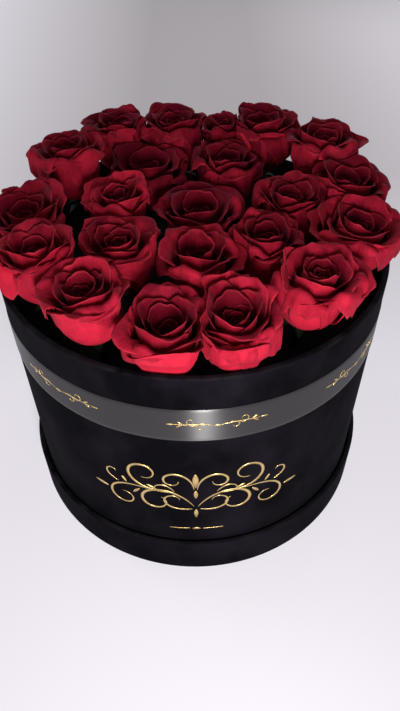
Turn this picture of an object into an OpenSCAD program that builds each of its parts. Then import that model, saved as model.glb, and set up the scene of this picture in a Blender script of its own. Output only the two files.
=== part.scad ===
// Round flower box: a flocked board drum standing in its own lid, filled with
// floral foam and a bed of cut roses, with a satin ribbon round the drum.
// Millimetres, +Z up, origin at the centre of the lid's underside, front at -Y.

/* [Drum] */
// Outer diameter of the covered drum
drum_d = 230; // [220:1:250]
// Height of the drum from its underside to its rim
drum_h = 179; // [165:1:200]
// Thickness of the rolled board wall
wall_t = 2.5; // [1.5:0.1:3.5]
// Thickness of the board disc in the drum's base
base_t = 2.5; // [1.5:0.1:3.5]
// Depth to which the covering is turned down inside the rim
rim_turn_in = 18; // [10:1:24]
// Width of the covering that is turned under the base
foot_turn_in = 12; // [8:1:20]

/* [Covering] */
// Thickness of the flocked covering
cover_t = 0.5; // [0.4:0.05:0.7]
// Radius of the covering where it bends round a board edge
edge_r = 1; // [0.6:0.1:1.2]
// Thickness of the paper lining
lining_t = 0.3; // [0.2:0.05:0.5]

/* [Lid] */
// Height of the lid from its underside to its open rim
lid_h = 31; // [22:1:45]
// Thickness of the lid's board
lid_board_t = 2; // [1.2:0.1:3]
// Gap between the drum and the inside of the lid's rim
lid_gap = 1.5; // [1:0.1:3]
// Depth to which the covering is turned down inside the lid's rim
lid_turn_in = 12; // [6:1:18]
// Width of the covering that is turned under the lid's end
lid_foot_turn_in = 3; // [2:0.5:12]

/* [Ribbon] */
// Width of the ribbon
ribbon_w = 25; // [15:1:38]
// Thickness of the ribbon
ribbon_t = 0.35; // [0.2:0.05:0.6]
// Distance from the drum's rim down to the ribbon's upper edge
ribbon_drop = 22; // [10:1:40]
// Length of the lap where the ribbon's ends meet behind
ribbon_lap = 20; // [10:1:40]

/* [Foam] */
// Depth of the foam's top below the drum's rim
foam_drop = 32; // [28:1:40]
// Thickness of the upper foam disc, which holds the stems
foam_upper_t = 72; // [66:1:90]
// Gap between the foam and the lining
foam_gap = 0.3; // [0.2:0.05:1]

/* [Stems] */
// Diameter of a stem
stem_d = 5; // [4:0.1:6.5]
// Length of stem pushed into the foam
stem_depth = 50; // [30:1:58]
// Gap between a stem and its hole in the foam
stem_gap = 0.15; // [0.1:0.05:0.3]
// Diameter of the swelling under the flower
hip_d = 9; // [7:0.1:11]
// Height of the swelling under the flower
hip_h = 8; // [6:0.5:10]
// Reach of a sepal from the stem's centre
sepal_reach = 12; // [8:0.5:13]
// Width of a sepal where it is widest
sepal_w = 5.2; // [3:0.2:6]
// How far a sepal's tip droops below its root
sepal_droop = 3.4; // [2:0.2:5]
// Thickness of a sepal
sepal_t = 0.8; // [0.5:0.1:1.2]

/* [Roses] */
// Diameter of a rose that has room to open
rose_d = 44; // [34:1:48]
// Height of a rose from its hip to its highest petal
rose_h = 40; // [34:1:46]
// Depth of the rose's heart below its highest petal
heart_depth = 4; // [2:0.5:8]
// Thickness of a petal
petal_t = 0.55; // [0.4:0.05:0.7]
// Distance from one petal to the next, measured from the heart outwards
petal_pitch = 1.6; // [1.3:0.05:2.2]
// How far the outermost petals roll back at the lip
petal_flare = 2.6; // [0:0.1:3.5]
// Smallest gap between neighbouring roses
rose_gap = 0.8; // [0.6:0.1:2]

/* [Arrangement] */
// Height of the roses' hearts above the drum's rim
heart_rise = 30; // [26:1:40]
// Distance from the drum's outside to the outer ring of hearts
outer_inset = 20; // [19:1:26]
// Distance between the outer and the inner ring of hearts
ring_pitch = 45; // [40:1:50]
// Outward lean of the outer roses
outer_lean = 8; // [4:0.5:10]
// Outward lean of the inner roses
inner_lean = 3; // [0:0.5:5]

/* [Hidden] */
// Each rose in its place: ring (2 outer, 1 inner, 0 centre), angle, and how much
// further out, higher and wider it is than its ring's plain rose, and its turn.
ROSES = [
    [2, 148, -5, 5, 0, 10], [2, 119, 2, 4, -1, 75], [2, 97, -8, 4, -3, 200],
    [2, 77, -7, 2, -17, 40], [2, 59, -2, 6, 0, 310], [2, 33, 2, 8, 0, 120],
    [2, 9, -1, 1, -2, 255], [2, -15, -3, -2, 0, 20], [2, -48, -4, -2, 2, 165],
    [2, -77, 1, -4, 0, 90], [2, -98, 4, -6, -2, 225], [2, -124, 0, -1, 1, 330],
    [2, -149, 0, 0, -1, 145], [2, -174, 2, -3, 1, 60],
    [1, 172, -8, -1, -2, 285], [1, 118, 7, -4, 3, 30], [1, 69, 0, -1, 0, 190],
    [0, -28, 4, -5, 1, 100], [1, 3, 5, -2, 0, 350], [1, -42, 2, -2, -2, 240],
    [1, -84, -3, -3, -1, 5], [1, -134, 4, -2, 1, 130]
];
LAST = len(ROSES) - 1;

// Two-digit number of a rose, counted from one
function tag(i) = str(i < 9 ? "0" : "", i + 1);

// Facets round the box's own circles, round a rose, and round a stem
BOX_FN = 180;
ROSE_FN = 72;
STEM_FN = 48;

FLOCK = [0.05, 0.045, 0.055];
BOARD = [0.45, 0.43, 0.40];
PAPER = [0.09, 0.09, 0.10];
SATIN = [0.27, 0.27, 0.30];
FOAM = [0.07, 0.07, 0.075];
PETAL = [0.66, 0.03, 0.09];
LEAF = [0.20, 0.34, 0.14];

// Radii of the drum's layers, from outside to inside
drum_r = drum_d / 2;
tube_r = drum_r - cover_t;
tube_bore_r = tube_r - wall_t;
rim_bore_r = tube_bore_r - cover_t;
lining_bore_r = tube_bore_r - lining_t;

// Radii of the lid's layers, from inside to outside
lid_bore_r = drum_r + lid_gap;
lid_band_bore_r = lid_bore_r + cover_t;
lid_band_r = lid_band_bore_r + lid_board_t;
lid_r = lid_band_r + cover_t;

// Heights
lid_floor_z = cover_t + lid_board_t + lining_t;
drum_z = lid_floor_z;
rim_z = drum_z + drum_h;
drum_base_z = drum_z + cover_t;
drum_floor_z = drum_base_z + base_t;
foam_z = drum_floor_z + lining_t;
foam_top_z = rim_z - foam_drop;
foam_joint_z = foam_top_z - foam_upper_t;
heart_z = rim_z + heart_rise;
outer_ring_r = drum_r - outer_inset;
inner_ring_r = outer_ring_r - ring_pitch;
heart_h = rose_h - heart_depth;

// Points along an arc
function arc(x, y, r, from, to, steps = 6) =
    [for (j = [0:steps]) let (a = from + (to - from) * j / steps) [x + r * cos(a), y + r * sin(a)]];

// Where a rose stands: ring, direction, lean, and the foot of its head
function ring_of(i) = ROSES[i][0];
function angle_of(i) = ROSES[i][1];
function lean_of(i) = ring_of(i) == 2 ? outer_lean : ring_of(i) == 1 ? inner_lean : 0;
function ring_r_of(i) = ring_of(i) == 2 ? outer_ring_r : ring_of(i) == 1 ? inner_ring_r : 0;
function foot_r(i) = ring_r_of(i) + ROSES[i][2] - heart_h * sin(lean_of(i));
function foot_z(i) = heart_z + ROSES[i][3] - heart_h * cos(lean_of(i));
// Distance from the box's axis at height h along the rose's own axis, and that point in plan
function axis_r(i, h) = foot_r(i) + h * sin(lean_of(i));
function axis_xy(i, h) = axis_r(i, h) * [cos(angle_of(i)), sin(angle_of(i))];

// A head is as wide as it likes, up to its share of the room beside each neighbour, at
// its lip and at half its height, and up to the drum's rim, which it clears on its way up.
BELLY_U = 0.5;
function wish_r(i) = (rose_d + ROSES[i][4]) / 2;
function room(i, j) = min(norm(axis_xy(i, BELLY_U * rose_h) - axis_xy(j, BELLY_U * rose_h)),
                          norm(axis_xy(i, rose_h) - axis_xy(j, rose_h))) - rose_gap;
function rim_room(i) = let (h = (rim_z - foot_z(i)) / cos(lean_of(i)))
    (rim_bore_r - rose_gap - axis_r(i, h)) / swell(min(1, h / rose_h)) + petal_flare;
function head_r(i) = min(concat([wish_r(i), rim_room(i)],
    [for (j = [0:LAST]) if (j != i) room(i, j) * wish_r(i) / (wish_r(i) + wish_r(j))]));

// Outline of a head against height u, from 0 at the hip to 1 at the lip: it swells along
// an ellipse to full width just above half height and stays upright from there.
WIDEST_U = 0.55;
SWELL_U = 0.62;
function swell(u) = u < WIDEST_U ? sqrt(1 - pow((WIDEST_U - u) / SWELL_U, 2)) : 1;
// A petal follows the head's outline, closes over the heart by a share of its radius and,
// from FLARE_U up, rolls back, by flare at a further ROLL_U
FLARE_U = 0.6;
ROLL_U = 0.3;
function petal_x(r, u, close, flare) =
    r * swell(u) * (1 - close * pow(max(0, u - WIDEST_U) / (1 - WIDEST_U), 1.5))
    + flare * pow(max(0, (u - FLARE_U) / ROLL_U), 2);

module ring(r_out, r_in, h) {
    difference() {
        cylinder(r = r_out, h = h);
        translate([0, 0, -1]) cylinder(r = r_in, h = h + 2);
    }
}

// Covering of a board wall: turned in by foot under the closed end at z = 0, up the
// outside, over the open rim at height h and down by turn inside it.
module wall_cover(r_out, board, h, foot, turn) {
    r_in = r_out - board - 2 * cover_t;
    rotate_extrude($fn = BOX_FN)
        polygon(concat(
            [[r_out - foot, cover_t], [r_out - foot, 0]],
            arc(r_out - edge_r, edge_r, edge_r, -90, 0),
            arc(r_out - edge_r, h - edge_r, edge_r, 0, 90),
            arc(r_in + edge_r, h - edge_r, edge_r, 90, 180),
            [[r_in, h - turn], [r_in + cover_t, h - turn], [r_in + cover_t, h - cover_t],
             [r_out - cover_t, h - cover_t], [r_out - cover_t, cover_t]]));
}

// Paper lining of a floor and of the wall round it, up to height h
module cup_lining(r_out, h) {
    rotate_extrude($fn = BOX_FN)
        polygon([[0, 0], [r_out, 0], [r_out, h], [r_out - lining_t, h],
                 [r_out - lining_t, lining_t], [0, lining_t]]);
}

module lid_end_cover() color(FLOCK)
    cylinder(r = lid_r - lid_foot_turn_in, h = cover_t, $fn = BOX_FN);

module lid_board_disc() color(BOARD)
    translate([0, 0, cover_t]) cylinder(r = lid_band_bore_r, h = lid_board_t, $fn = BOX_FN);

module lid_board_band() color(BOARD)
    translate([0, 0, cover_t]) ring(lid_band_r, lid_band_bore_r, lid_h - 2 * cover_t, $fn = BOX_FN);

module lid_band_cover() color(FLOCK)
    wall_cover(lid_r, lid_board_t, lid_h, lid_foot_turn_in, lid_turn_in);

module lid_lining() color(PAPER)
    translate([0, 0, cover_t + lid_board_t])
        cup_lining(lid_band_bore_r, lid_h - lid_turn_in - cover_t - lid_board_t);

module drum_base_cover() color(FLOCK)
    translate([0, 0, drum_z]) cylinder(r = drum_r - foot_turn_in, h = cover_t, $fn = BOX_FN);

module drum_base_board() color(BOARD)
    translate([0, 0, drum_base_z]) cylinder(r = tube_bore_r, h = base_t, $fn = BOX_FN);

module drum_board_tube() color(BOARD)
    translate([0, 0, drum_base_z]) ring(tube_r, tube_bore_r, drum_h - 2 * cover_t, $fn = BOX_FN);

module drum_cover() color(FLOCK)
    translate([0, 0, drum_z]) wall_cover(drum_r, wall_t, drum_h, foot_turn_in, rim_turn_in);

module drum_lining() color(PAPER)
    translate([0, 0, drum_floor_z])
        cup_lining(tube_bore_r, rim_z - rim_turn_in - drum_floor_z);

module foam_lower() color(FOAM)
    translate([0, 0, foam_z])
        cylinder(r = lining_bore_r - foam_gap, h = foam_joint_z - foam_z, $fn = BOX_FN);

// The upper disc has one blind hole for each stem, drilled at the stem's own lean
module foam_upper() color(FOAM)
    difference() {
        translate([0, 0, foam_joint_z])
            cylinder(r = lining_bore_r - foam_gap, h = foam_upper_t, $fn = BOX_FN);
        for (i = [0:LAST])
            at_rose(i) translate([0, 0, -stem_l(i)])
                cylinder(d = stem_d + 2 * stem_gap, h = stem_l(i), $fn = STEM_FN);
    }

// A flat band round the drum whose tail laps over its start behind
module ribbon() color(SATIN) {
    lap_angle = ribbon_lap / drum_r * 180 / PI;
    translate([0, 0, rim_z - ribbon_drop - ribbon_w]) {
        ring(drum_r + ribbon_t, drum_r, ribbon_w, $fn = BOX_FN);
        rotate([0, 0, 90 - lap_angle / 2])
            rotate_extrude(angle = lap_angle, $fn = BOX_FN)
                translate([drum_r + ribbon_t / 2, 0]) square([ribbon_t * 1.5, ribbon_w]);
    }
}

// Puts a child at the foot of a rose's head, with +Z along the rose
module at_rose(i)
    rotate([0, 0, angle_of(i)])
        translate([foot_r(i), 0, foot_z(i)])
            rotate([0, lean_of(i), 0])
                children();

// Length of stem below a head: down to the foam, and into it
function stem_l(i) = (foot_z(i) - foam_top_z) / cos(lean_of(i)) + stem_depth;

// Steps in a petal's curve, where petals start above the hip, and where their cup ends
PETAL_STEPS = 4;
PETAL_FOOT_U = 0.08;
CUP_U = 0.16;
// Share of the way out from the heart at which petals begin to have a round outline
ROUNDED_FROM = 0.4;
// How much taller a petal's shell is than the round outline that it is cut to
SPARE = 0.5;
// How far the outermost petal stands inside the cup's edge
CUP_EDGE = 0.2;
// Turn from one petal to the next
GOLDEN_ANGLE = 137.5;
// Half the angle that the outermost petal wraps, what the innermost wraps beyond that,
// and the most that a petal may wrap with and without a round outline
OUTER_HALF = 62;
INNER_MORE = 78;
ROUNDED_HALF = 84;
FULL_HALF = 140;
// Radius of the innermost petal
heart_r = 2.4;

// Number of petals from the heart out, which the head's width decides
function petals(i) = 1 + floor((head_r(i) - petal_flare - heart_r) / petal_pitch);
// Height of a petal at s, from 0 at the heart to 1 outside: highest just past half way
function petal_top(s) = rose_h * (0.87 + 0.5 * s - 0.47 * s * s) - 1;
// From -1 to 1, and different for each petal k of each rose i
function uneven(i, k) = sin(131 * i + 77 * k);

// One petal: part of a thin shell round the rose's axis, half its angle either side of +X.
// r is its radius at full width.  A rounded one is cut to an outline that is widest at
// mid height; petals round the heart keep their full width and scroll into each other.
module petal(r, half, top, close, flare, rounded) {
    u_top = (rounded ? top + SPARE : top) / rose_h;
    u = [for (j = [0:PETAL_STEPS]) PETAL_FOOT_U + (u_top - PETAL_FOOT_U) * j / PETAL_STEPS];
    outer = [for (v = u) [petal_x(r, v, close, flare), v * rose_h]];
    inner = [for (j = [PETAL_STEPS:-1:0]) outer[j] - [petal_t, 0]];
    rise = top - PETAL_FOOT_U * rose_h;
    foot_w = 0.7 * r * sin(half);
    outline_r = (rise * rise + foot_w * foot_w) / (2 * rise);
    intersection() {
        rotate([0, 0, -half]) rotate_extrude(angle = 2 * half, $fn = ROSE_FN)
            polygon(concat(outer, inner));
        if (rounded)
            translate([0, 0, top - outline_r]) rotate([0, 90, 0])
                cylinder(r = outline_r, h = r + flare + 2, $fn = ROSE_FN);
    }
}

// A rose's head: petals wrapped one over the next at the golden angle, all rising from
// the thick cup that their bases make.  Inner petals wrap further round and close over
// the heart, and outer ones are shorter and roll back.
module rose_head(i) {
    n = petals(i);
    belly_r = head_r(i) - petal_flare;
    cup_u = [for (j = [0:4]) CUP_U * j / 4];
    rotate_extrude($fn = ROSE_FN)
        polygon(concat([[0, 0]], [for (v = cup_u) [belly_r * swell(v), v * rose_h]],
                       [[belly_r * 0.5, CUP_U * rose_h], [0, CUP_U * 0.8 * rose_h]]));
    for (k = [0:n - 1]) {
        s = k / (n - 1);
        rounded = s >= ROUNDED_FROM;
        rotate([0, 0, ROSES[i][5] + GOLDEN_ANGLE * k])
            petal(r = heart_r + (belly_r - CUP_EDGE - heart_r) * s,
                  half = min(OUTER_HALF + INNER_MORE * pow(1 - s, 1.5), rounded ? ROUNDED_HALF : FULL_HALF),
                  top = petal_top(s) + uneven(i, k),
                  close = 0.32 - 0.28 * s,
                  flare = petal_flare * s * s,
                  rounded = rounded);
    }
}

// A cut stem with the hip and five sepals that carry the flower
module stem(i) {
    l = stem_l(i);
    hip_r = hip_d / 2;
    rotate_extrude($fn = STEM_FN)
        polygon([[0, 0], [0, -l], [stem_d / 2, -l], [stem_d / 2, -hip_h],
                 [hip_r * 0.85, -hip_h * 0.75], [hip_r, -hip_h * 0.45], [hip_r * 0.9, 0]]);
    for (k = [0:4]) rotate([0, 0, ROSES[i][5] + 72 * k]) sepal(hip_r);
}

// A sepal springs from the hip, arches and droops to a point: its arch seen from the side,
// turned about the stem, is cut to its leaf shape seen from above
module sepal(hip_r) {
    root = hip_r - 1;
    knee = (root + sepal_reach) / 2;
    spread = 40;
    below = sepal_droop + 2 * sepal_t;
    right = [[0, sepal_w * 0.23], [root, sepal_w * 0.25], [knee, sepal_w / 2],
             [sepal_reach - 1, sepal_w * 0.15]];
    left = [for (j = [3:-1:0]) [right[j][0], -right[j][1]]];
    intersection() {
        rotate([0, 0, -spread]) rotate_extrude(angle = 2 * spread, $fn = STEM_FN)
            polygon([[root, -1], [knee, -0.5], [sepal_reach, -sepal_droop],
                     [sepal_reach, -sepal_droop - sepal_t * 0.6], [knee, -0.5 - sepal_t],
                     [root, -1 - sepal_t]]);
        translate([0, 0, -below]) linear_extrude(below)
            polygon(concat(left, right, [[sepal_reach + 0.5, 0]]));
    }
}

lid_end_cover();
lid_board_disc();
lid_board_band();
lid_band_cover();
lid_lining();
drum_base_cover();
drum_base_board();
drum_board_tube();
drum_cover();
drum_lining();
foam_lower();
foam_upper();
ribbon();
for (i = [0:LAST]) {
    color(PETAL) at_rose(i) rose_head(i);
    color(LEAF) at_rose(i) stem(i);
}
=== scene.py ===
import math
from typing import NamedTuple

import bpy
import numpy as np
from mathutils import Matrix, Vector


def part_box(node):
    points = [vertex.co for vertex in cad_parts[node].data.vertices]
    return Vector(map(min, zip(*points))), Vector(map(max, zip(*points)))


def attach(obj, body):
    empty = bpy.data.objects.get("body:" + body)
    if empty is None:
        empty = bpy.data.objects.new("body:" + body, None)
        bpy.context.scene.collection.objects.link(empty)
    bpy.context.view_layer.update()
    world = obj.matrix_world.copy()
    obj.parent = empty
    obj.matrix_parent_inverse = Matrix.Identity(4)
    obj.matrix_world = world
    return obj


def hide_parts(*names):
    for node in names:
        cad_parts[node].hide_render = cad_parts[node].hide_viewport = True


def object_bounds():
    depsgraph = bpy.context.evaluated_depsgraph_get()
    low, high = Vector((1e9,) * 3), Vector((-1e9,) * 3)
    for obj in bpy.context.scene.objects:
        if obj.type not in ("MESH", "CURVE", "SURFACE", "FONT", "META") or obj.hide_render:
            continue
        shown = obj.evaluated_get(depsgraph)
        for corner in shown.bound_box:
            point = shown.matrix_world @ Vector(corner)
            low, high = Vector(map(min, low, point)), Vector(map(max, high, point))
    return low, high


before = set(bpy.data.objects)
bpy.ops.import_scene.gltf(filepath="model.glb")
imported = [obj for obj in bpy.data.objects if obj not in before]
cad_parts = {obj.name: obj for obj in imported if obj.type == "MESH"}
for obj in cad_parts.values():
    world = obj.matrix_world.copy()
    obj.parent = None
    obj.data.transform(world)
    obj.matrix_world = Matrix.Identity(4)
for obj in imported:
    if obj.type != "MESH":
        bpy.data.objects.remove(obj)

cad_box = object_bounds()

# Round flower box: the flocked drum, its lid and its foam keep their solids and get
# their finishes here.  The roses, the ribbon and the gold print are modelled as meshes.
# Everything is in metres; sizes that are easier to read in millimetres are times MM.
MM = 0.001


# ---------------------------------------------------------------- places from the CAD parts

def middle(node):
    """Centre of a node's box."""
    low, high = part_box(node)
    return np.array((low + high) / 2)


DRUM_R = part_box("drum_cover")[1].x
RIM_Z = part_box("drum_cover")[1].z
LID_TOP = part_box("lid_band_cover")[1].z
RIBBON_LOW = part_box("ribbon")[0].z
RIBBON_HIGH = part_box("ribbon")[1].z
ROSE_TAGS = sorted(name[-2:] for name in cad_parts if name.startswith("rose_"))


# ---------------------------------------------------------------- shapes

def smooth(start, end, x):
    """0 below start, 1 above end, and 3t^2 - 2t^3 between them."""
    t = np.clip((x - start) / (end - start), 0.0, 1.0)
    return t * t * (3.0 - 2.0 * t)


def soft_limit(x, limit, give):
    """x kept under limit: unchanged below limit - give, and from there it nears limit
    as an exponential of how far past it would have gone."""
    over = np.maximum(x - (limit - give), 0.0)
    return np.where(over > 0, limit - give * np.exp(-over / give), x)


def running_sum(values, steps):
    """Values summed down the rows of a grid by the trapezium rule, from nought.  Each
    interval is as long as the mean of its two rows' steps."""
    mid = (values[1:] + values[:-1]) / 2 * (steps[1:] + steps[:-1]) / 2
    return np.vstack([np.zeros((1, values.shape[1])), np.cumsum(mid, axis=0)])


def mesh_piece(name, points, faces, material, uv=None, tone=None):
    """A smooth-shaded mesh object at the origin, with a UV map and a colour attribute
    where they are given, one value for each point."""
    mesh = bpy.data.meshes.new(name)
    mesh.from_pydata(points.tolist(), [], faces.tolist())
    mesh.polygons.foreach_set("use_smooth", np.ones(len(mesh.polygons), bool))
    if uv is not None:
        corners = np.empty(len(mesh.loops), np.int32)
        mesh.loops.foreach_get("vertex_index", corners)
        layer = mesh.uv_layers.new(name="cut")
        layer.data.foreach_set("uv", uv[corners].astype(np.float32).ravel())
    if tone is not None:
        attribute = mesh.attributes.new("tone", "FLOAT_COLOR", "POINT")
        attribute.data.foreach_set("color", tone.astype(np.float32).ravel())
    mesh.materials.append(material)
    mesh.update()
    piece = bpy.data.objects.new(name, mesh)
    bpy.context.scene.collection.objects.link(piece)
    return piece


def sheet_faces(rows, columns):
    """Quads of a closed sheet: a grid of rows by columns points, the same grid again for
    its back, and a strip that joins the two round their edges."""
    index = np.arange(rows * columns).reshape(rows, columns)
    front = np.stack([index[:-1, :-1], index[:-1, 1:], index[1:, 1:], index[1:, :-1]], axis=-1)
    front = front.reshape(-1, 4)
    size = rows * columns
    edge = np.concatenate([index[0, :-1], index[:-1, -1], index[-1, :0:-1], index[:0:-1, 0]])
    after = np.roll(edge, -1)
    rim = np.stack([after, edge, edge + size, after + size], axis=-1)
    return np.concatenate([front, front[:, ::-1] + size, rim])


def sheet_points(grid, thickness):
    """Points of a closed sheet: the grid, and a copy moved back by thickness along the
    grid's own normals, which are the cross product of its steps across and along."""
    normal = np.cross(np.gradient(grid, axis=1), np.gradient(grid, axis=0))
    normal /= np.linalg.norm(normal, axis=-1, keepdims=True) + 1e-12
    back = grid - normal * thickness[..., None]
    return np.concatenate([grid.reshape(-1, 3), back.reshape(-1, 3)])


# ---------------------------------------------------------------- finishes

class Finish:
    """One procedural material.  What is the same all over its surface is set on the shader
    by name.  add returns its node and finish the material, and every other method adds
    nodes and returns their output."""

    def __init__(self, name, **settings):
        self.material = bpy.data.materials.new(name)
        self.material.use_nodes = True
        self.tree = self.material.node_tree
        self.shader = self.tree.nodes["Principled BSDF"]
        for socket, value in settings.items():
            self.shader.inputs[socket.replace("_", " ")].default_value = value

    def add(self, kind, inputs=(), **properties):
        """A node with its properties, and its inputs linked or given their values."""
        node = self.tree.nodes.new(kind)
        for key, value in properties.items():
            setattr(node, key, value)
        for socket, value in dict(inputs).items():
            if isinstance(value, bpy.types.NodeSocket):
                self.tree.links.new(value, node.inputs[socket])
            else:
                node.inputs[socket].default_value = value
        return node

    def place(self, scale=(1, 1, 1), turn=(0, 0, 0)):
        """The point in the object's own space, scaled and turned."""
        spot = self.add("ShaderNodeTexCoord").outputs["Object"]
        inputs = {"Vector": spot, "Scale": scale, "Rotation": turn}
        return self.add("ShaderNodeMapping", inputs).outputs["Vector"]

    def cut(self, scale=(1, 1, 1)):
        """The point in the piece's UV map, scaled."""
        spot = self.add("ShaderNodeUVMap", uv_map="cut").outputs["UV"]
        return self.add("ShaderNodeMapping", {"Vector": spot, "Scale": scale}).outputs["Vector"]

    def split(self, vector):
        """The three parts of a vector."""
        return self.add("ShaderNodeSeparateXYZ", {"Vector": vector}).outputs

    def noise(self, vector, scale, detail=3.0, roughness=0.5):
        """Clouds between 0 and 1."""
        inputs = {"Vector": vector, "Scale": scale, "Detail": detail, "Roughness": roughness}
        return self.add("ShaderNodeTexNoise", inputs).outputs["Fac"]

    def cells(self, vector, scale):
        """How far the nearest of many scattered points is."""
        inputs = {"Vector": vector, "Scale": scale}
        return self.add("ShaderNodeTexVoronoi", inputs).outputs["Distance"]

    def rescale(self, value, from_low, from_high, to_low, to_high):
        """A value carried evenly from one range to another, and kept inside it."""
        inputs = {"Value": value, "From Min": from_low, "From Max": from_high,
                  "To Min": to_low, "To Max": to_high}
        return self.add("ShaderNodeMapRange", inputs).outputs["Result"]

    def sum(self, a, b, by=1.0):
        """a plus by times b."""
        inputs = {0: b, 1: by, 2: a}
        return self.add("ShaderNodeMath", inputs, operation="MULTIPLY_ADD").outputs[0]

    def product(self, a, b):
        """a times b."""
        return self.add("ShaderNodeMath", {0: a, 1: b}, operation="MULTIPLY").outputs[0]

    def blend(self, factor, low, high):
        """A colour that runs from low to high as factor runs from 0 to 1."""
        node = self.add("ShaderNodeMix", data_type="RGBA", clamp_factor=True)
        for socket, value in (("Factor", factor), ("A", low), ("B", high)):
            target = next(s for s in node.inputs if s.name == socket and s.enabled)
            if isinstance(value, bpy.types.NodeSocket):
                self.tree.links.new(value, target)
            else:
                target.default_value = (*value, 1.0) if isinstance(value, tuple) else value
        return next(s for s in node.outputs if s.enabled)

    def bump(self, height, strength, distance, under=None):
        """A relief, laid over the one under it."""
        inputs = {"Height": height, "Strength": strength, "Distance": distance}
        if under is not None:
            inputs["Normal"] = under
        return self.add("ShaderNodeBump", inputs).outputs["Normal"]

    def finish(self, color, roughness, normal):
        """Links what differs over the surface, and gives the material."""
        for socket, value in (("Base Color", color), ("Roughness", roughness), ("Normal", normal)):
            self.tree.links.new(value, self.shader.inputs[socket])
        return self.material


def flocked_finish():
    """Black flock: short upright fibres, brushed into faint patches, rubbed paler where the
    covering bends round the rims."""
    flock = Finish("flocked covering", Sheen_Weight=0.008, Sheen_Roughness=0.40,
                   Sheen_Tint=(0.70, 0.66, 0.80, 1.0), Specular_IOR_Level=0.02)
    patches = flock.noise(flock.place((1.0, 1.0, 0.8)), 24.0, 4.0, 0.6)
    fibres = flock.noise(flock.place(), 2600.0, 2.0, 0.7)
    shade = flock.sum(flock.rescale(patches, 0.40, 0.68, 0.0, 0.75), fibres, 0.40)
    color = flock.blend(shade, (0.0010, 0.0009, 0.0015), (0.0105, 0.0095, 0.0135))
    height = flock.split(flock.place())[2]
    worn_rim = flock.rescale(height, RIM_Z - 1.6 * MM, RIM_Z - 0.2 * MM, 0.0, 1.0)
    up_to_lid = flock.rescale(height, LID_TOP - 1.4 * MM, LID_TOP - 0.2 * MM, 0.0, 1.0)
    above_lid = flock.rescale(height, LID_TOP + 0.1 * MM, LID_TOP + 0.4 * MM, 1.0, 0.0)
    worn_lid = flock.product(up_to_lid, above_lid)
    chafed = flock.rescale(flock.noise(flock.place(), 90.0), 0.45, 0.75, 0.0, 0.8)
    rubbed = flock.product(flock.sum(worn_rim, worn_lid), chafed)
    color = flock.blend(rubbed, color, (0.020, 0.018, 0.021))
    roughness = flock.rescale(fibres, 0.3, 0.7, 0.86, 1.0)
    nap = flock.bump(patches, 0.25, 0.6 * MM)
    return flock.finish(color, roughness, flock.bump(fibres, 0.5, 0.25 * MM, nap))


def board_finish():
    """Grey board: mottled pulp with darker fibres."""
    board = Finish("grey board", Specular_IOR_Level=0.2)
    pulp = board.noise(board.place(), 900.0, 4.0, 0.65)
    fibres = board.noise(board.place((1.0, 1.0, 5.0), (0.4, 0.2, 0.0)), 420.0, 3.0)
    color = board.blend(pulp, (0.17, 0.155, 0.135), (0.36, 0.335, 0.30))
    color = board.blend(board.rescale(fibres, 0.6, 0.75, 0.0, 0.6), color, (0.10, 0.09, 0.08))
    roughness = board.rescale(pulp, 0.2, 0.8, 0.80, 0.95)
    return board.finish(color, roughness, board.bump(pulp, 0.3, 0.1 * MM))


def lining_finish():
    """Black paper: a faint felt of fibres and a dull surface."""
    paper = Finish("paper lining", Specular_IOR_Level=0.25)
    felt = paper.noise(paper.place(), 1500.0, 4.0, 0.7)
    color = paper.blend(felt, (0.007, 0.007, 0.008), (0.024, 0.023, 0.025))
    roughness = paper.rescale(felt, 0.2, 0.8, 0.70, 0.90)
    return paper.finish(color, roughness, paper.bump(felt, 0.3, 0.08 * MM))


def foam_finish():
    """Black floral foam: fine open cells, crumbled here and there."""
    foam = Finish("floral foam", Specular_IOR_Level=0.15)
    cells = foam.cells(foam.place(), 1700.0)
    crumbs = foam.noise(foam.place(), 160.0, 5.0, 0.7)
    color = foam.blend(foam.sum(cells, crumbs, 0.5), (0.003, 0.003, 0.0035), (0.020, 0.020, 0.021))
    roughness = foam.rescale(crumbs, 0.3, 0.7, 0.90, 1.00)
    dents = foam.bump(crumbs, 0.6, 1.0 * MM)
    return foam.finish(color, roughness, foam.bump(cells, 0.7, 0.3 * MM, dents))


def satin_finish():
    """Charcoal satin: fine threads that run along the ribbon and stretch its gloss across
    them, soft bands that cross it, and plainer selvedges."""
    satin = Finish("satin ribbon", Anisotropic=1.0, Anisotropic_Rotation=0.25,
                   Sheen_Weight=0.01, Sheen_Roughness=0.30, Specular_IOR_Level=0.92)
    threads = satin.noise(satin.cut((40.0, 9000.0, 1.0)), 1.0, 2.0, 0.6)
    bands = satin.noise(satin.cut((34.0, 6.0, 1.0)), 1.0, 2.0, 0.5)
    shade = satin.sum(satin.rescale(bands, 0.3, 0.7, 0.0, 0.65), threads, 0.4)
    color = satin.blend(shade, (0.004, 0.0037, 0.0044), (0.012, 0.011, 0.0128))
    across = satin.split(satin.cut())[1]
    width = RIBBON_HIGH - RIBBON_LOW
    selvedge, faded = 0.6 * MM, 1.1 * MM
    lower = satin.rescale(across, selvedge, faded, 1.0, 0.0)
    upper = satin.rescale(across, width - faded, width - selvedge, 0.0, 1.0)
    color = satin.blend(satin.product(satin.sum(lower, upper), 0.6), color, (0.008, 0.0075, 0.0085))
    roughness = satin.rescale(bands, 0.3, 0.7, 0.38, 0.44)
    tangent = satin.add("ShaderNodeTangent", direction_type="UV_MAP", uv_map="cut").outputs[0]
    satin.tree.links.new(tangent, satin.shader.inputs["Tangent"])
    return satin.finish(color, roughness, satin.bump(threads, 0.15, 0.03 * MM))


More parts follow.
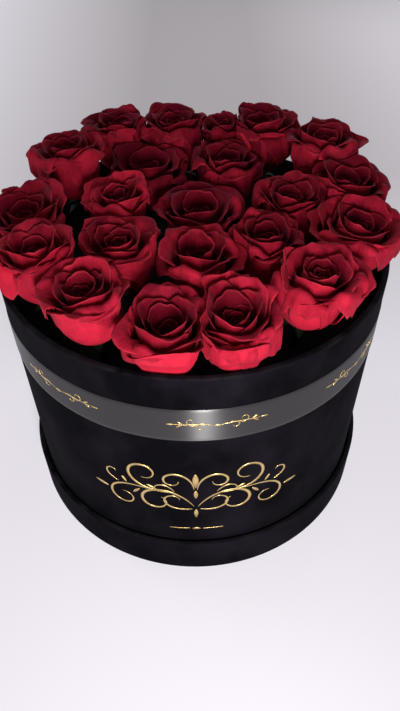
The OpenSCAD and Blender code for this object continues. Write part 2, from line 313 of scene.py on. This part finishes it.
def petal_finish():
    """Red velvet petal: the inside deeper than the outside, every petal a little different,
    with fine veins that run from foot to lip and a thin paler edge.  It is painted darker
    towards the heart and by its rose's shade, and both are painted shade."""
    petal = Finish("rose petal", Sheen_Weight=0.05, Sheen_Roughness=0.45,
                   Sheen_Tint=(1.0, 0.30, 0.38, 1.0), Specular_IOR_Level=0.05)
    tone = petal.add("ShaderNodeAttribute", attribute_name="tone").outputs["Color"]
    own, outwards, inside = petal.add("ShaderNodeSeparateColor", {"Color": tone}).outputs
    veins = petal.noise(petal.cut((46.0, 2.2, 1.0)), 1.0, 3.0, 0.65)
    clouds = petal.noise(petal.place(), 130.0, 3.0)
    # Painted shade: outwards darkens petals towards the heart, where shade falls, and own carries the
    # rose's painted shade with a random tone for each petal.
    shade = petal.sum(petal.rescale(outwards, 0.0, 1.0, -0.24, 0.78), own)
    shade = petal.sum(shade, inside, -0.36)
    shade = petal.sum(shade, petal.rescale(clouds, 0.3, 0.7, -0.5, 0.5), 0.42)
    shade = petal.sum(shade, petal.rescale(veins, 0.3, 0.7, -0.5, 0.5), 0.26)
    color = petal.blend(shade, (0.135, 0.0024, 0.0115), (0.56, 0.0165, 0.0440))
    up = petal.split(petal.cut())[1]
    edge = petal.rescale(up, 0.965, 1.0, 0.0, 0.40)
    color = petal.blend(petal.product(edge, petal.rescale(clouds, 0.35, 0.6, 0.2, 1.0)),
                        color, (0.62, 0.046, 0.074))
    skin = petal.noise(petal.place(), 2400.0, 2.0)
    wrinkles = petal.noise(petal.place(), 420.0, 3.0, 0.6)
    roughness = petal.rescale(clouds, 0.3, 0.7, 0.60, 0.74)
    relief = petal.bump(wrinkles, 0.35, 0.9 * MM, petal.bump(veins, 0.35, 0.4 * MM))
    return petal.finish(color, roughness, petal.bump(skin, 0.18, 0.10 * MM, relief))


def stem_finish():
    """Stem and sepals: green painted nearly black, as painted shade for where they lie under the heads,
    streaked along their length, browner in patches.
    """
    stem = Finish("stem and sepal", Specular_IOR_Level=0.10)
    streaks = stem.noise(stem.place((9.0, 9.0, 1.0)), 90.0, 3.0)
    patches = stem.noise(stem.place(), 120.0, 4.0)
    # The greens are painted very dark: painted shade under the rose heads.
    color = stem.blend(streaks, (0.003, 0.006, 0.0025), (0.009, 0.016, 0.006))
    color = stem.blend(stem.rescale(patches, 0.55, 0.75, 0.0, 0.7), color, (0.018, 0.011, 0.006))
    roughness = stem.rescale(patches, 0.3, 0.7, 0.60, 0.80)
    return stem.finish(color, roughness, stem.bump(streaks, 0.3, 0.15 * MM))


def gold_finish():
    """Gold foil, pressed into the nap: bright metal with a fine unevenness."""
    gold = Finish("gold print", Metallic=1.0)
    grain = gold.noise(gold.place(), 1500.0, 3.0, 0.6)
    patches = gold.noise(gold.place(), 120.0, 2.0)
    color = gold.blend(patches, (0.60, 0.40, 0.13), (0.92, 0.70, 0.32))
    roughness = gold.rescale(patches, 0.3, 0.7, 0.28, 0.48)
    return gold.finish(color, roughness, gold.bump(grain, 0.3, 0.06 * MM))


FLOCK = flocked_finish()
BOARD = board_finish()
LINING = lining_finish()
FOAM = foam_finish()
SATIN = satin_finish()
PETAL = petal_finish()
STEM = stem_finish()
GOLD = gold_finish()


def dress(material, *names):
    """Puts a finish on the CAD nodes whose shape stays."""
    for name in names:
        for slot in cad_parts[name].material_slots:
            slot.material = material


dress(FLOCK, "lid_end_cover", "lid_band_cover", "drum_base_cover", "drum_cover")
dress(BOARD, "lid_board_disc", "lid_board_band", "drum_base_board", "drum_board_tube")
dress(LINING, "lid_lining", "drum_lining")
dress(FOAM, "foam_lower", "foam_upper")
dress(STEM, *("stem_" + tag for tag in ROSE_TAGS))


# ---------------------------------------------------------------- roses

# Each petal is a grid of rows and columns, and GUARD_PETALS of each rose's petals hang down
# outside the others.  Heights are in mm from the foot of the head, as all of a rose is
# until it is put in its place.
PETAL_ROWS = 26
PETAL_COLUMNS = 27
GUARD_PETALS = 3
PETAL_HEIGHT = 36.0
GUARD_CLIMB = 32.0
FOOT_TILT = math.radians(66.0)
GOLDEN_ANGLE = math.radians(137.5)
FOOT_BELOW_MIDDLE = 20 * MM
SEED_OFFSET = 10


class Habit(NamedTuple):
    """How a rose has opened."""
    radius: float       # the radius that it would fill if it stood alone, in mm
    openness: float     # from 0 for a bud to 1 for a blown rose
    bowl: float         # how far its heart lies below its crest, in mm
    tall: float         # how far its back stands above its front, in mm
    shade: float        # its shade, from deep below 0 to bright above it: painted shade, deeper at the back
    petals: int         # how many petals it has, guard petals among them
    spiral: int         # 1 or -1, for the way its petals wind


# The shade column is painted shade for the front light's falloff: the roses at the back are set deeper
# and those at the front brighter.
HABITS = {
    "01": Habit(21.0, 0.55, 7.0, 2.0, -0.20, 21, 1),
    "02": Habit(22.5, 0.70, 7.0, 1.5, -0.38, 20, -1),
    "03": Habit(22.5, 0.75, 6.0, 2.0, -0.36, 21, 1),
    "04": Habit(15.5, 0.60, 4.0, 0.5, -0.36, 17, -1),
    "05": Habit(23.0, 0.55, 9.0, 2.0, -0.32, 21, 1),
    "06": Habit(20.0, 0.65, 8.0, 2.0, -0.28, 21, -1),
    "07": Habit(22.5, 0.80, 9.0, 2.5, -0.22, 21, 1),
    "08": Habit(23.5, 0.45, 10.0, 3.5, 0.00, 21, 1),
    "09": Habit(20.0, 0.25, 6.0, 2.0, 0.09, 21, -1),
    "10": Habit(22.5, 0.40, 12.0, 1.5, 0.03, 19, 1),
    "11": Habit(21.5, 0.30, 15.0, 0.5, -0.06, 19, -1),
    "12": Habit(19.5, 0.25, 9.0, 2.5, 0.08, 19, 1),
    "13": Habit(20.5, 0.30, 8.0, 1.0, 0.06, 21, -1),
    "14": Habit(23.5, 0.50, 10.0, 3.0, -0.05, 21, 1),
    "15": Habit(16.5, 0.10, 6.0, 7.5, 0.06, 18, 1),
    "16": Habit(25.0, 0.95, 14.0, 1.5, -0.42, 17, -1),
    "17": Habit(21.5, 0.65, 9.0, 1.0, -0.38, 20, 1),
    "18": Habit(23.0, 0.60, 11.0, 3.0, -0.32, 18, -1),
    "19": Habit(19.5, 0.40, 8.0, 2.0, -0.18, 20, 1),
    "20": Habit(20.5, 0.60, 9.0, 2.0, -0.18, 20, -1),
    "21": Habit(20.0, 0.50, 11.0, 3.0, 0.00, 17, 1),
    "22": Habit(21.0, 0.50, 8.0, 1.5, 0.05, 21, -1),
}


def petal_grid(chance, foot_r, belly_r, height, half_angle, lean, close, curl, lip_at,
               roll, corner_curl, corner_drop, point, skew, bow, tuck, frill, crease):
    """One petal round the rose's axis, in mm: a grid of points, and p, q and t at each.

    p runs across the petal from -1 to 1.  q runs from its foot at 0 to its edge at 1, in
    rows that draw together towards the edge.  t is q times the outline, which is how far
    along the petal a point lies, as a share of its length.  The outline falls towards the
    corners by corner_drop and towards one side by skew, rises to a small point in the
    middle by point, and is a little ragged.

    The petal's tilt from upright starts at FOOT_TILT, falls evenly to nought along an arc
    that reaches from the foot radius to the belly radius, then grows to lean, and beyond
    lip_at grows by curl, and more at the corners by corner_curl, over a length of roll.
    Radius and height are the running sums of the tilt's sine and cosine, and the radius
    shrinks towards the edge by the share close.  The petal wraps the axis by half_angle
    each way, and by less at its foot.  tuck draws one side in and lets the other out, bow
    lets both out, sine waves crumple the edge by frill, and two slanting creases with a
    bell-shaped section dent it by crease."""
    point_width, crease_width, spare_for_lip = 0.18, 0.10, 3.0
    p = np.linspace(-1.0, 1.0, PETAL_COLUMNS)[None, :]
    q = np.linspace(0.0, 1.0, PETAL_ROWS)[:, None]
    q = q * (1.25 - 0.25 * q)
    side = np.abs(p)
    phase = chance.uniform(0.0, 6.28, 8)

    tip = point * np.exp(-((p - skew) / point_width) ** 2)
    rags = (0.006 + 0.018 * frill) * (np.sin(9 * p + phase[0]) + 0.6 * np.sin(19 * p + phase[1]))
    outline = 1.0 - corner_drop * side ** 2.4 - skew * p + tip + rags
    t = q * outline

    arc = (belly_r - foot_r) * FOOT_TILT / (1.0 - math.cos(FOOT_TILT))
    length = height + spare_for_lip + arc * (1.0 - math.sin(FOOT_TILT) / FOOT_TILT)
    round_until = arc / length
    lip = lip_at - 0.07 * p ** 2 + 0.03 * np.sin(5 * p + phase[2])
    rounding = FOOT_TILT * np.clip(1.0 - t / round_until, 0.0, 1.0)
    leaning = lean * smooth(0.7 * round_until, 1.5 * round_until, t)
    rolling = (curl + corner_curl * side ** 1.6) * np.clip((t - lip) / roll, 0.0, 1.0) ** 1.3
    tilt = rounding + leaning + rolling
    step = np.diff(q[:, 0], prepend=-q[1, 0])[:, None] * outline * length
    radius = (foot_r + running_sum(np.sin(tilt), step)) * (1.0 - close * smooth(0.35, 1.05, t))
    rise = running_sum(np.cos(tilt), step)

    wave = (np.sin(4.1 * p + phase[3] + 2.0 * q) + 0.7 * np.sin(8.2 * p + phase[4] + 3.5 * q)
            + 0.5 * np.sin(13.5 * p + phase[5] + q))
    crumple = 0.40 * np.sin(18.0 * p + phase[6] + 2.0 * q) + 0.25 * np.sin(25.0 * p + phase[7])
    radius = radius + frill * (wave * smooth(0.35, 1.0, t) + crumple * smooth(0.70, 1.0, t))
    rise = rise + 0.6 * frill * wave * smooth(0.6, 1.0, t)
    above_foot, below_lip = smooth(0.20, 0.50, t), 1.0 - 0.6 * smooth(0.7, 1.0, t)
    for start, slant in chance.uniform(-0.6, 0.6, (2, 2)):
        dent = np.exp(-((p - start - slant * (t - 0.5)) / crease_width) ** 2)
        radius = radius - crease * dent * above_foot * below_lip
    radius = radius + bow * side ** 2.2 * smooth(0.2, 0.9, t) + tuck * p * smooth(0.0, 0.5, t)
    angle = half_angle * p * (0.42 + 0.58 * smooth(0.0, 0.55, t))
    grid = np.stack([radius * np.cos(angle), radius * np.sin(angle), rise], axis=-1)
    return grid, p + 0.0 * q, q + 0.0 * p, t


def turned(points, angle):
    """Points turned about the Z axis."""
    c, s = math.cos(angle), math.sin(angle)
    return points @ np.array([[c, s, 0.0], [-s, c, 0.0], [0.0, 0.0, 1.0]])


def wrapped_petal(chance, s, radius, openness, bowl, tall):
    """A petal at place s, from 0 at the heart to 1 outside.  Petals further out stand wider,
    wrap less far round, close less over the heart, and lean and roll back more, and they
    reach highest about three fifths of the way out."""
    close = 0.40 * (1.0 - smooth(0.0, 0.60, s))
    lip_r = 1.0 + (radius - 2.4 - 1.2 * openness) * s ** 1.12
    lip_share = (0.07 + 0.11 * s) * chance.uniform(0.6, 1.7)
    lower = bowl * (1.0 - smooth(0.05, 0.60, s))
    outer_fall = 2.0 * smooth(0.62, 1.0, s)
    height = PETAL_HEIGHT - lower - outer_fall + (chance.uniform(-1.6, 1.6) + tall) * (0.2 + 0.8 * s)
    lean = (5.0 + 7.0 * openness) * s ** 1.5 + chance.uniform(-2.0, 3.0) * s
    curl = 115.0 * smooth(0.18, 1.0, s) * (0.5 + 0.8 * openness) * chance.uniform(0.5, 1.3)
    return petal_grid(
        chance, foot_r=1.2 + 2.6 * s, belly_r=lip_r / (1.0 - close), height=height,
        half_angle=math.radians(68.0 + 96.0 * (1.0 - s) ** 2.0), lean=math.radians(lean),
        close=close, curl=math.radians(curl), lip_at=1.0 - lip_share, roll=lip_share,
        corner_curl=math.radians(6.0 + 50.0 * s) * chance.uniform(0.1, 1.5),
        corner_drop=0.10 + 0.16 * s, point=chance.uniform(-0.02, 0.09) * s,
        skew=chance.uniform(-0.07, 0.07), bow=1.3 * s * chance.uniform(0.1, 1.3),
        tuck=0.32 + 0.6 * s, frill=0.05 + 0.40 * s, crease=0.10 + 0.35 * s ** 2)


def guard_petal(chance, radius, openness, tall):
    """An outermost petal: it climbs outside the others, rolls right over and hangs down."""
    climb = GUARD_CLIMB + openness + tall + chance.uniform(-3.0, 1.5)
    hang = chance.uniform(12.0, 20.0)
    length = climb + hang
    return petal_grid(
        chance, foot_r=3.9, belly_r=radius - 3.6, height=length,
        half_angle=math.radians(chance.uniform(44.0, 58.0)), lean=math.radians(1.0), close=0.0,
        curl=math.radians(chance.uniform(168.0, 186.0)), lip_at=climb / length,
        roll=chance.uniform(5.0, 8.0) / length, corner_curl=0.0,
        corner_drop=chance.uniform(0.28, 0.40), point=chance.uniform(-0.03, 0.09),
        skew=chance.uniform(-0.09, 0.09), bow=0.4, tuck=0.9, frill=0.85, crease=1.3)


def rose_shells(habit, seed):
    """Every petal of a rose, in mm on its own upright axis: points, faces, UV and tone.

    Petals are set at the golden angle from the heart out, and stand higher by tall times
    the square of the cosine from the crest, at the back.  Each is a closed sheet that thins
    towards its lip and its sides.  Its tone is its rose's shade plus a little chance, how
    far out it stands, and 1 on its inside, or 0 there on a guard petal; the rose's shade is
    painted shade, deeper at the back.  Last the whole head is squeezed a little out of
    round, and nods to one side by the square of the height."""
    foot_thickness, thinning, nod_height = 0.45, 0.30, 34.0
    chance = np.random.default_rng(seed)
    points, faces, uv, tone = [], [], [], []
    patch = sheet_faces(PETAL_ROWS, PETAL_COLUMNS)
    grid_size = PETAL_ROWS * PETAL_COLUMNS
    crest = math.radians(90.0) + chance.uniform(-0.7, 0.7)
    wrapped = habit.petals - GUARD_PETALS
    for k in range(habit.petals):
        turn = GOLDEN_ANGLE * k + chance.uniform(-0.3, 0.3)
        higher = habit.tall * max(math.cos(turn - crest), 0.0) ** 2
        if k < wrapped:
            s = k / (wrapped - 1)
            grid, p, q, t = wrapped_petal(chance, s, habit.radius, habit.openness, habit.bowl, higher)
            outwards, inside = s, 1.0
        else:
            grid, p, q, t = guard_petal(chance, habit.radius, habit.openness, 0.5 * higher)
            # Guard petals take a middle tone rather than the outermost one: painted shade that tones
            # down where the near key light falls on them.
            outwards, inside = 0.6, 0.0
        thickness = (foot_thickness - thinning * smooth(0.25, 0.95, t)) * (1.0 - 0.5 * p ** 6)
        points.append(turned(sheet_points(grid, thickness), turn))
        faces.append(patch + 2 * grid_size * k)
        spread = np.stack([p / 2 + 0.5, q], axis=-1).reshape(-1, 2)
        uv.append(np.concatenate([spread, spread]))
        tones = np.ones((2 * grid_size, 4))
        # Painted shade: the rose's shade, deeper for roses at the back, plus a random tone for each
        # petal.
        tones[:, 0] = habit.shade + chance.uniform(0.0, 0.30)
        tones[:, 1] = outwards
        tones[:, 2] = np.repeat([0.0, inside], grid_size)
        tone.append(tones)
    points, faces, uv, tone = (np.concatenate(part) for part in (points, faces, uv, tone))
    points = turned(turned(points, -crest) * (1.0, chance.uniform(0.93, 1.02), 1.0), crest)
    points[:, :2] += chance.uniform(-2.4, 2.4, 2) * (points[:, 2:] / nod_height) ** 2
    return points, faces, uv, tone


def rose_axis(tag):
    """Foot of a rose's head and the direction it grows in, from its head and its stem."""
    head, stem = middle("rose_" + tag), middle("stem_" + tag)
    direction = (head - stem) / np.linalg.norm(head - stem)
    return head - FOOT_BELOW_MIDDLE * direction, direction


AXES = {tag: rose_axis(tag) for tag in ROSE_TAGS}


def axis_at(tag, z):
    """Where a rose's axis passes each height z, in plan."""
    foot, direction = AXES[tag]
    return foot[:2] + (z - foot[2])[:, None] * direction[:2] / direction[2]


def press_together(points, tag):
    """Keeps a rose on its own side of a wavy wall between it and each neighbour.

    The wall stands square to the line between the two axes and shares it by their radii.
    It sways along its length and with height, and leans over to one side above the rim, by
    the same amount for both roses, and a petal nears it without ever reaching it."""
    clearance, give, sway, reach = 0.25 * MM, 2.4 * MM, 3.3 * MM, 8.0 * MM
    ripple_length, swell_length, swell_rise = 4.4 * MM, 9.0 * MM, 4.5 * MM
    lean_from, lean_to = RIM_Z + 10 * MM, RIM_Z + 26 * MM
    mine = HABITS[tag].radius * MM
    for other in ROSE_TAGS:
        theirs = HABITS[other].radius * MM
        height = points[:, 2]
        gap = axis_at(other, height) - axis_at(tag, height)
        distance = np.linalg.norm(gap, axis=1)
        if other == tag or distance.min() > mine + theirs + reach:
            continue
        normal = gap / distance[:, None]
        side = 1.0 if tag < other else -1.0
        phase = int(tag) * int(other)
        across = ((points[:, :2] - axis_at(tag, height)) * normal).sum(axis=1)
        along = side * (points[:, 1] * normal[:, 0] - points[:, 0] * normal[:, 1])
        ripple = 0.75 * np.sin(along / ripple_length + phase)
        swell = 0.50 * np.sin(height / swell_rise + 2 * phase + along / swell_length)
        lean = 0.8 * np.sin(1.7 * phase) * smooth(lean_from, lean_to, height)
        wall = side * sway * (ripple + swell + lean)
        limit = distance * mine / (mine + theirs) + wall - clearance
        points[:, :2] += normal * (soft_limit(across, limit, give) - across)[:, None]
    return points


def keep_in_box(points):
    """Keeps a rose inside the drum's rim below it, lets it spread over the rim above, and
    keeps it under the top of the solids' box."""
    inside_rim, over_rim, side_give, top_give = DRUM_R - 4.2 * MM, DRUM_R + 4.6 * MM, 2.5 * MM, 2 * MM
    spread_from, spread_to = RIM_Z + 1 * MM, RIM_Z + 14 * MM
    radius = np.linalg.norm(points[:, :2], axis=1)
    limit = inside_rim + (over_rim - inside_rim) * smooth(spread_from, spread_to, points[:, 2])
    points[:, :2] *= (soft_limit(radius, limit, side_give) / radius)[:, None]
    points[:, 2] = soft_limit(points[:, 2], cad_box[1][2], top_give)
    return points


def rose(tag):
    """A rose head on its own axis, pressed against its neighbours and the rim."""
    habit = HABITS[tag]
    points, faces, uv, tone = rose_shells(habit, SEED_OFFSET + int(tag))
    points[:, 0] *= habit.spiral
    foot, up = AXES[tag]
    across = np.cross((0.0, 1.0, 0.0), up)
    across /= np.linalg.norm(across)
    points = foot + points * MM @ np.array([across, np.cross(up, across), up])
    points = keep_in_box(press_together(points, tag))
    head = mesh_piece("rose_head_" + tag, points, faces[:, ::habit.spiral], PETAL, uv, tone)
    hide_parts("rose_" + tag)
    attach(head, "box")


for tag in ROSE_TAGS:
    rose(tag)


# ---------------------------------------------------------------- ribbon

RIBBON_T = 0.35 * MM
RIBBON_LAP = 20 * MM
LAP_ANGLE = math.pi / 2
FULL_TURN = 2 * math.pi


def ribbon():
    """A satin band once round the drum, its tail lapped over its start behind.

    Its cross-section is a flat strip with thinned selvedges, carried round the drum.  Sines
    of the angle sway its radius by a few hundredths of a millimetre and its height by a
    tenth, and the radius steps out by the ribbon's thickness where the tail passes over the
    start."""
    steps, threads, selvedge_share, step_angle = 601, 13, 0.25, 0.05
    under, lap_under, sway_out, sway_up = 0.03 * MM, 0.05 * MM, 0.04 * MM, 0.12 * MM
    width = RIBBON_HIGH - RIBBON_LOW
    turn = FULL_TURN + RIBBON_LAP / DRUM_R
    start = LAP_ANGLE - RIBBON_LAP / DRUM_R / 2
    around = np.linspace(0.0, turn, steps)[:, None]
    across = np.linspace(0.0, 1.0, threads)
    half = np.full(threads, RIBBON_T / 2)
    half[[0, -1]] *= selvedge_share
    lift = (RIBBON_T + lap_under) * smooth(FULL_TURN - step_angle, FULL_TURN, around)
    sway = sway_out * (1 + np.sin(23 * around + 4 * across) * np.cos(9 * around - 3 * across))
    middle_r = DRUM_R + under + RIBBON_T / 2 + lift + sway
    height = RIBBON_LOW + width * across + sway_up * np.sin(5 * around) * np.sin(17 * around + 1)
    angle = start + around + 0 * across

    def layer(radius):
        """Points at a radius and at their own angle and height about the drum's axis."""
        return np.stack([radius * np.cos(angle), radius * np.sin(angle), height + 0 * angle], axis=-1)

    front, back = layer(middle_r + half), layer(middle_r - half)
    points = np.concatenate([front.reshape(-1, 3), back.reshape(-1, 3)])
    faces = sheet_faces(steps, threads)[:, ::-1]
    spread = np.stack([around * DRUM_R + 0 * across, across * width + 0 * around], axis=-1)
    spread = spread.reshape(-1, 2)
    band = mesh_piece("satin_ribbon", points, faces, SATIN, np.concatenate([spread, spread]))
    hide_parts("ribbon")
    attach(band, "box")


ribbon()


# ---------------------------------------------------------------- gold ornaments

def stroke(start, heading, length, bend_start, bend_end, width, steps=40):
    """Outline of a pen stroke on the flat, in mm: a centre line whose direction changes at
    a rate that runs evenly from bend_start to bend_end, in degrees per mm, and a width that
    swells from about an eighth at each end to the whole in the middle, as a power of the sine.
    It gives the two edges, left and right, as arrays of x and y."""
    s = np.linspace(0.0, 1.0, steps)
    step = length / (steps - 1)
    bend = bend_start + (bend_end - bend_start) * s
    bent = np.concatenate([[0.0], np.cumsum((bend[1:] + bend[:-1]) / 2)])
    direction = np.radians(heading + bent * step)
    move = np.stack([np.cos(direction), np.sin(direction)], axis=-1) * step
    moved = np.concatenate([[[0.0, 0.0]], np.cumsum((move[1:] + move[:-1]) / 2, axis=0)])
    line = np.array(start) + moved
    side = np.stack([-np.sin(direction), np.cos(direction)], axis=-1)
    half = width / 2 * (0.12 + 0.88 * np.sin(math.pi * s) ** 0.8)[:, None]
    return line + side * half, line - side * half


def leaf(start, heading, length, width):
    """A stroke that is short, straight and full: a leaf."""
    return stroke(start, heading, length, 0.0, 0.0, width, steps=9)


def mirrored(strokes):
    """Strokes and their mirror images about x = 0, whose left and right edges change."""
    flip = np.array([-1.0, 1.0])
    return strokes + [(right * flip, left * flip) for left, right in strokes]


def foil(name, strokes, radius, placements, size):
    """Strokes laid on a cylinder of the given radius as thin foil.  A flat point x, y, times
    size, goes to the angle x / radius from the placement's own, at its height plus y.  The
    foil is a closed sheet that stands skin outside the cylinder and sunk inside it."""
    skin, sunk = 0.10 * MM, 0.15 * MM
    points, faces, count = [], [], 0
    for angle, z in placements:
        for left, right in strokes:
            flat = np.stack([right, left], axis=1) * size
            turn = angle + flat[..., 0] / radius
            height = z + flat[..., 1]
            for r in (radius + skin, radius - sunk):
                layer = np.stack([r * np.cos(turn), r * np.sin(turn), height], axis=-1)
                points.append(layer.reshape(-1, 3))
            rows = len(left)
            faces.append(sheet_faces(rows, 2)[:, ::-1] + count)
            count += 4 * rows
    return mesh_piece(name, np.concatenate(points), np.concatenate(faces), GOLD)


def scroll_flourish():
    """A symmetrical scroll: on each side three arms that spring from each other and roll up
    by turns below, above and below, with smaller curls and leaves between."""
    half = [
        stroke((1.0, -10.0), 62, 66, -0.9, -11.0, 1.6),
        stroke((13.5, 2.2), 2, 60, 0.2, 12.5, 1.5),
        stroke((24.5, 3.2), 6, 58, -0.2, -13.0, 1.3),
        stroke((0.8, 6.0), 84, 40, -1.0, -17.0, 1.3),
        stroke((2.0, -12.5), -8, 32, 0.4, 17.0, 1.1),
        stroke((11.0, 3.6), 60, 16, -2.0, -20.0, 0.9),
        stroke((42.0, 3.3), 24, 18, 1.0, 24.0, 0.9),
        leaf((20.0, 3.2), 34, 7.0, 1.9), leaf((30.0, 1.2), -50, 6.0, 1.7),
        leaf((49.0, -6.0), 12, 8.0, 1.9), leaf((37.0, 4.6), 62, 5.0, 1.4),
    ]
    heart = [leaf((0.0, 8.0), 90, 12.0, 3.2), leaf((0.0, -2.0), 90, 7.0, 2.2),
             leaf((0.0, -13.0), -90, 8.0, 2.4)]
    return mirrored(half) + heart


def divider():
    """A small lozenge between two short rules."""
    return mirrored([stroke((4.0, 0.0), 0, 13.0, 0.0, 0.0, 0.7)]) + [leaf((-2.6, 0.0), 0, 5.2, 2.2)]


def sprig():
    """Two curved stalks from a bud, each with a curl above, a curl below and leaves."""
    half = [
        stroke((1.5, 0.0), 18, 26, -2.4, 1.4, 0.7),
        stroke((6.0, 1.0), 30, 15, -4.0, -38.0, 0.55),
        stroke((11.0, 1.4), -26, 17, 3.0, 36.0, 0.55),
        leaf((20.5, 1.5), 32, 4.4, 1.2), leaf((21.5, 1.2), -34, 4.2, 1.1),
        leaf((26.5, 1.2), 2, 4.4, 1.1),
    ]
    return mirrored(half) + [leaf((-2.4, 0.0), 0, 4.8, 1.9)]


def print_on(name, strokes, radius, placements, size=MM):
    """An ornament in foil that rides on the box, at each angle and height in placements."""
    ornament = foil(name, strokes, radius, placements, size)
    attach(ornament, "box")


FRONT = math.radians(-90.0)
SCROLL_Z = 81 * MM
DIVIDER_Z = 44 * MM
RIBBON_R = DRUM_R + RIBBON_T + 0.08 * MM
RIBBON_Z = (RIBBON_LOW + RIBBON_HIGH) / 2
SPRIG_PLACES = [(math.radians(-84.0 + 45.0 * k), RIBBON_Z) for k in range(-3, 4)]

print_on("front_scroll", scroll_flourish(), DRUM_R, [(FRONT, SCROLL_Z)], size=1.12 * MM)
print_on("front_divider", divider(), DRUM_R, [(FRONT, DIVIDER_Z)])
print_on("ribbon_sprigs", sprig(), RIBBON_R, SPRIG_PLACES, size=0.86 * MM)


# ---------------------------------------------------------------- floor, lights and camera

def floor():
    """A pale floor with a soft grey band behind the box.  To the eye, in a gloss and through
    glass, part of it glows in its own colour, so that it looks pale and keeps its shadows.
    It lights the object as plain paint."""
    glow_share, reach = 0.6, 4.0
    pale = Finish("pale floor", Roughness=0.9)
    x, y, _ = pale.split(pale.place())
    left_end, right_end = pale.rescale(x, -0.42, -0.08, 0.0, 1.0), pale.rescale(x, 0.10, 0.62, 1.0, 0.0)
    band = pale.product(pale.product(left_end, right_end), pale.rescale(y, 0.05, 0.40, 0.0, 1.0))
    color = pale.blend(band, (0.94, 0.90, 0.97), (0.49, 0.465, 0.48))
    pale.tree.links.new(color, pale.shader.inputs["Base Color"])
    glow = pale.add("ShaderNodeEmission", {"Color": color, "Strength": 1.0}).outputs[0]
    path = pale.add("ShaderNodeLightPath").outputs
    seen = pale.sum(pale.sum(path["Is Camera Ray"], path["Is Glossy Ray"]), path["Is Transmission Ray"])
    share = pale.product(seen, glow_share)
    mixed = pale.add("ShaderNodeMixShader", {0: share, 1: pale.shader.outputs[0], 2: glow}).outputs[0]
    pale.tree.links.new(mixed, pale.tree.nodes["Material Output"].inputs["Surface"])
    points = np.array([(-reach, -reach, 0), (reach, -reach, 0), (reach, reach, 0), (-reach, reach, 0)])
    ground = mesh_piece("floor", points, np.array([[0, 1, 2, 3]]), pale.material)


def soft_light(name, spot, aim, width, height, power, color):
    """A rectangular lamp at a spot, turned to what it is aimed at."""
    lamp = bpy.data.lights.new(name, "AREA")
    lamp.shape = "RECTANGLE"
    lamp.size, lamp.size_y, lamp.energy, lamp.color = width, height, power, color
    light = bpy.data.objects.new(name, lamp)
    bpy.context.scene.collection.objects.link(light)
    light.location = spot
    light.rotation_euler = (Vector(aim) - Vector(spot)).to_track_quat("-Z", "Y").to_euler()


def lights():
    """A small key light close in front, wide ones behind at the left and the right, and a
    pale sky that looks brighter than it shines on the object."""
    bed = (0.0, 0.0, RIM_Z)
    sky_shines, sky_looks = 0.20, 0.62
    soft_light("key_light", (0.03, -0.40, 0.27), bed, 0.046, 0.17, 1.56, (1.0, 0.96, 0.955))
    soft_light("side_light", (-0.95, 0.45, 0.60), bed, 0.4, 0.6, 2.8, (0.95, 0.95, 1.0))
    soft_light("back_light", (0.45, 0.95, 0.45), bed, 0.6, 0.4, 1.8, (0.97, 0.96, 1.0))
    sky = bpy.data.worlds.new("pale sky")
    sky.use_nodes = True
    tree = sky.node_tree
    path = tree.nodes.new("ShaderNodeLightPath").outputs
    seen = path["Is Camera Ray"]
    for ray in ("Is Glossy Ray", "Is Transmission Ray"):
        either = tree.nodes.new("ShaderNodeMath")
        either.operation = "MAXIMUM"
        tree.links.new(seen, either.inputs[0])
        tree.links.new(path[ray], either.inputs[1])
        seen = either.outputs[0]
    strength = tree.nodes.new("ShaderNodeMapRange")
    strength.inputs["To Min"].default_value = sky_shines
    strength.inputs["To Max"].default_value = sky_looks
    tree.links.new(seen, strength.inputs["Value"])
    shade = tree.nodes["Background"].inputs
    shade["Color"].default_value = (0.90, 0.89, 0.95, 1.0)
    tree.links.new(strength.outputs["Result"], shade["Strength"])
    bpy.context.scene.world = sky


def camera():
    """A near camera that looks down at the box's front, rolled a fraction of a degree."""
    image_width, image_height, focal_px = 400, 711, 620.0
    elevation, roll, distance = math.radians(45.43), math.radians(-0.636), 442.4 * MM
    target = Vector((3.3, 0.0, 81.3)) * MM
    back = Vector((0.0, -math.cos(elevation), math.sin(elevation)))
    right = Vector((1.0, 0.0, 0.0))
    up = back.cross(right)
    c, s = math.cos(roll), math.sin(roll)
    eye = bpy.data.cameras.new("camera")
    eye.sensor_width = 36.0
    eye.lens = focal_px * eye.sensor_width / max(image_width, image_height)
    eye.clip_start = 0.01
    stand = bpy.data.objects.new("camera", eye)
    bpy.context.scene.collection.objects.link(stand)
    frame_axes = Matrix((right * c + up * s, up * c - right * s, back)).transposed().to_4x4()
    frame_axes.translation = target + back * distance
    stand.matrix_world = frame_axes
    bpy.context.scene.camera = stand


floor()
lights()
camera()
bpy.context.scene.view_settings.view_transform = "Standard"
